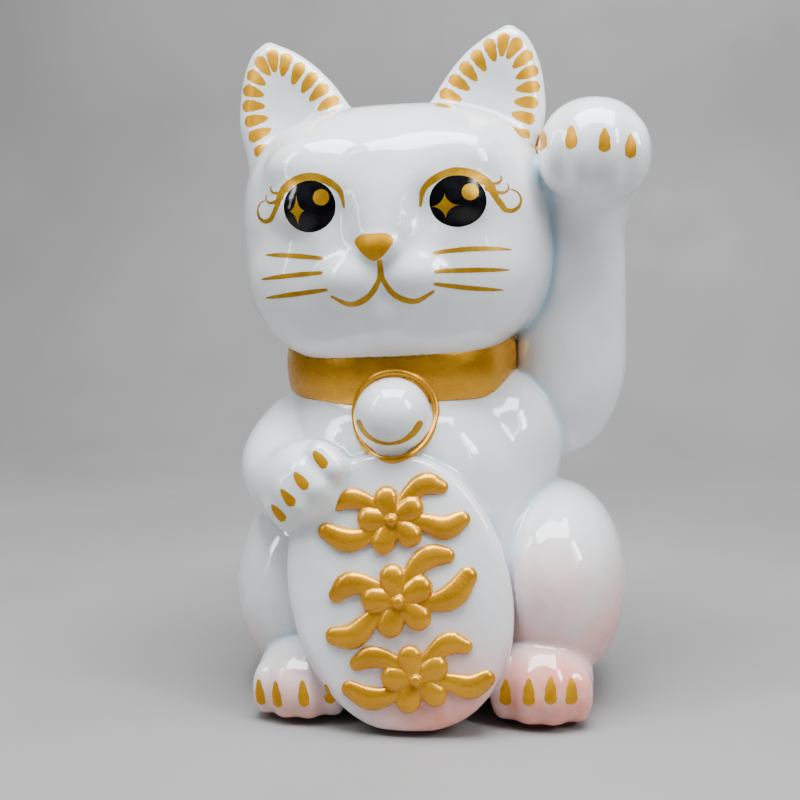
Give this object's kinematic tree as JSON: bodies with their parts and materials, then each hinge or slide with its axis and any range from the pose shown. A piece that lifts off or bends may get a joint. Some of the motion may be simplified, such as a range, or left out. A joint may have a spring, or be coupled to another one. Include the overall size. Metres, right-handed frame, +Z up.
{
  "type": "beckoning cat figurine",
  "caption": "Seated beckoning cat money bank in glazed porcelain, with a raised paw, collar, bell, oval plaque with gilt sprays, coin slot and base stopper.",
  "frame": {"origin": "bottom centre of the overall box, on the surface the pads stand on", "axes": "+Z up, the cat faces -Y, its own left side at +X"},
  "size_m": [0.1312, 0.123, 0.2116],
  "materials": {
    "porcelain": "glossy pearl-white glaze with a pink blush on the feet",
    "gilding": "satin gold enamel over porcelain",
    "rubber": "matte"
  },
  "bodies": {
    "cat": {"torso_shell": "porcelain", "head_shell": "porcelain", "ear_left": "porcelain", "ear_right": "porcelain", "raised_arm": "porcelain", "plaque_arm": "porcelain", "haunch_left": "porcelain", "haunch_right": "porcelain", "foot_left": "porcelain", "foot_right": "porcelain", "tail": "porcelain", "koban_plaque": "porcelain", "bell": "porcelain", "collar_band": "gilding", "bell_ring": "gilding", "spray_top": "gilding", "spray_middle": "gilding", "spray_bottom": "gilding", "pad_1": "rubber", "pad_2": "rubber", "pad_3": "rubber", "pad_4": "rubber"},
    "stopper": {"base_stopper": "rubber"}
  },
  "joints": [
    {"name": "stopper_pull", "type": "slide", "parent": "cat", "child": "stopper", "axis": [0, 0, -1], "range_m": [0, 0.03]}
  ]
}
